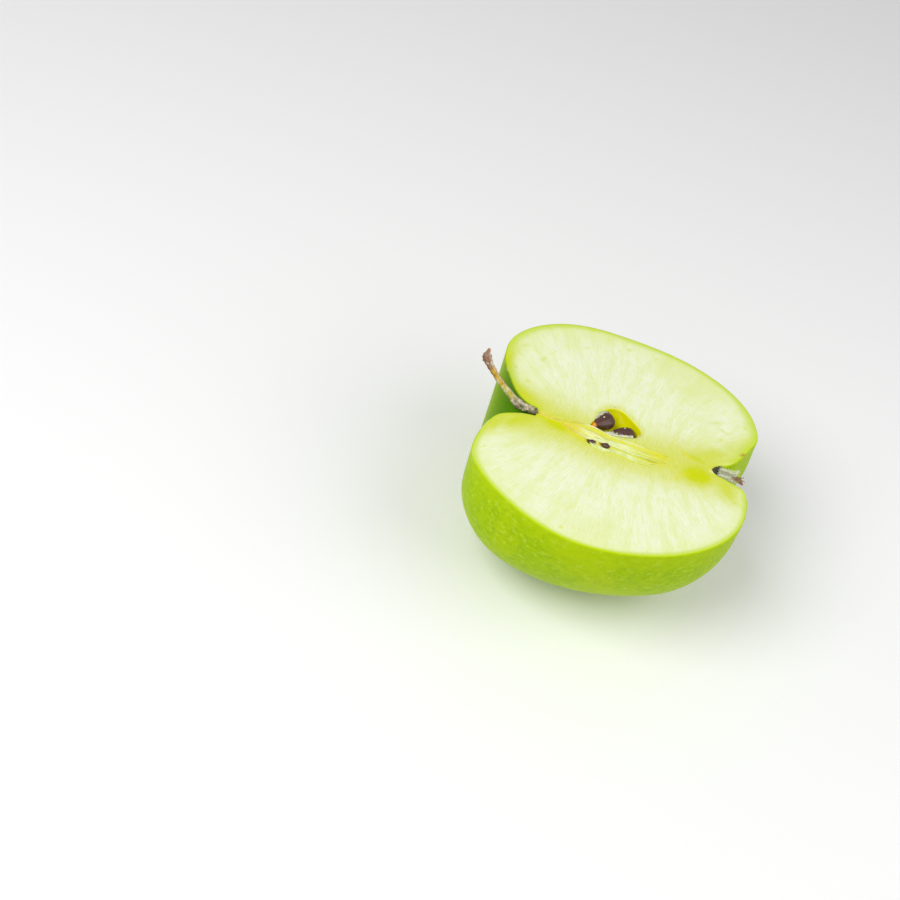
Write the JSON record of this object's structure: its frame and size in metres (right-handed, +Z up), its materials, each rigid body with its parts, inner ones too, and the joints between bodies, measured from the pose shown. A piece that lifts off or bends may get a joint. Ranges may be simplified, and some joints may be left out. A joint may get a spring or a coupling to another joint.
{
  "type": "apple half",
  "caption": "Half of a green apple cut lengthwise through stem and calyx, pale flesh up, with its open seed chamber, seeds, bent stem and dried calyx, resting on its round back.",
  "frame": {"origin": "on the small flat spot that the half rests on, below the middle of its round back", "axes": "+X along the core from the stem end to the calyx end, +Y towards the fuller lobe, +Z up out of the cut face"},
  "size_m": [0.0729, 0.0774, 0.0476],
  "materials": {
    "green_skin": "waxy",
    "stem_bark": "rough",
    "seed_coat": "polished",
    "sepal_wool": "matte",
    "dry_stamen": "matte"
  },
  "bodies": {
    "root": {"apple_half": "green_skin", "stem": "stem_bark", "seed_1": "seed_coat", "seed_2": "seed_coat", "seed_3": "seed_coat", "seed_4": "seed_coat", "sepals": "sepal_wool", "dry_stamens": "dry_stamen"}
  },
  "joints": []
}
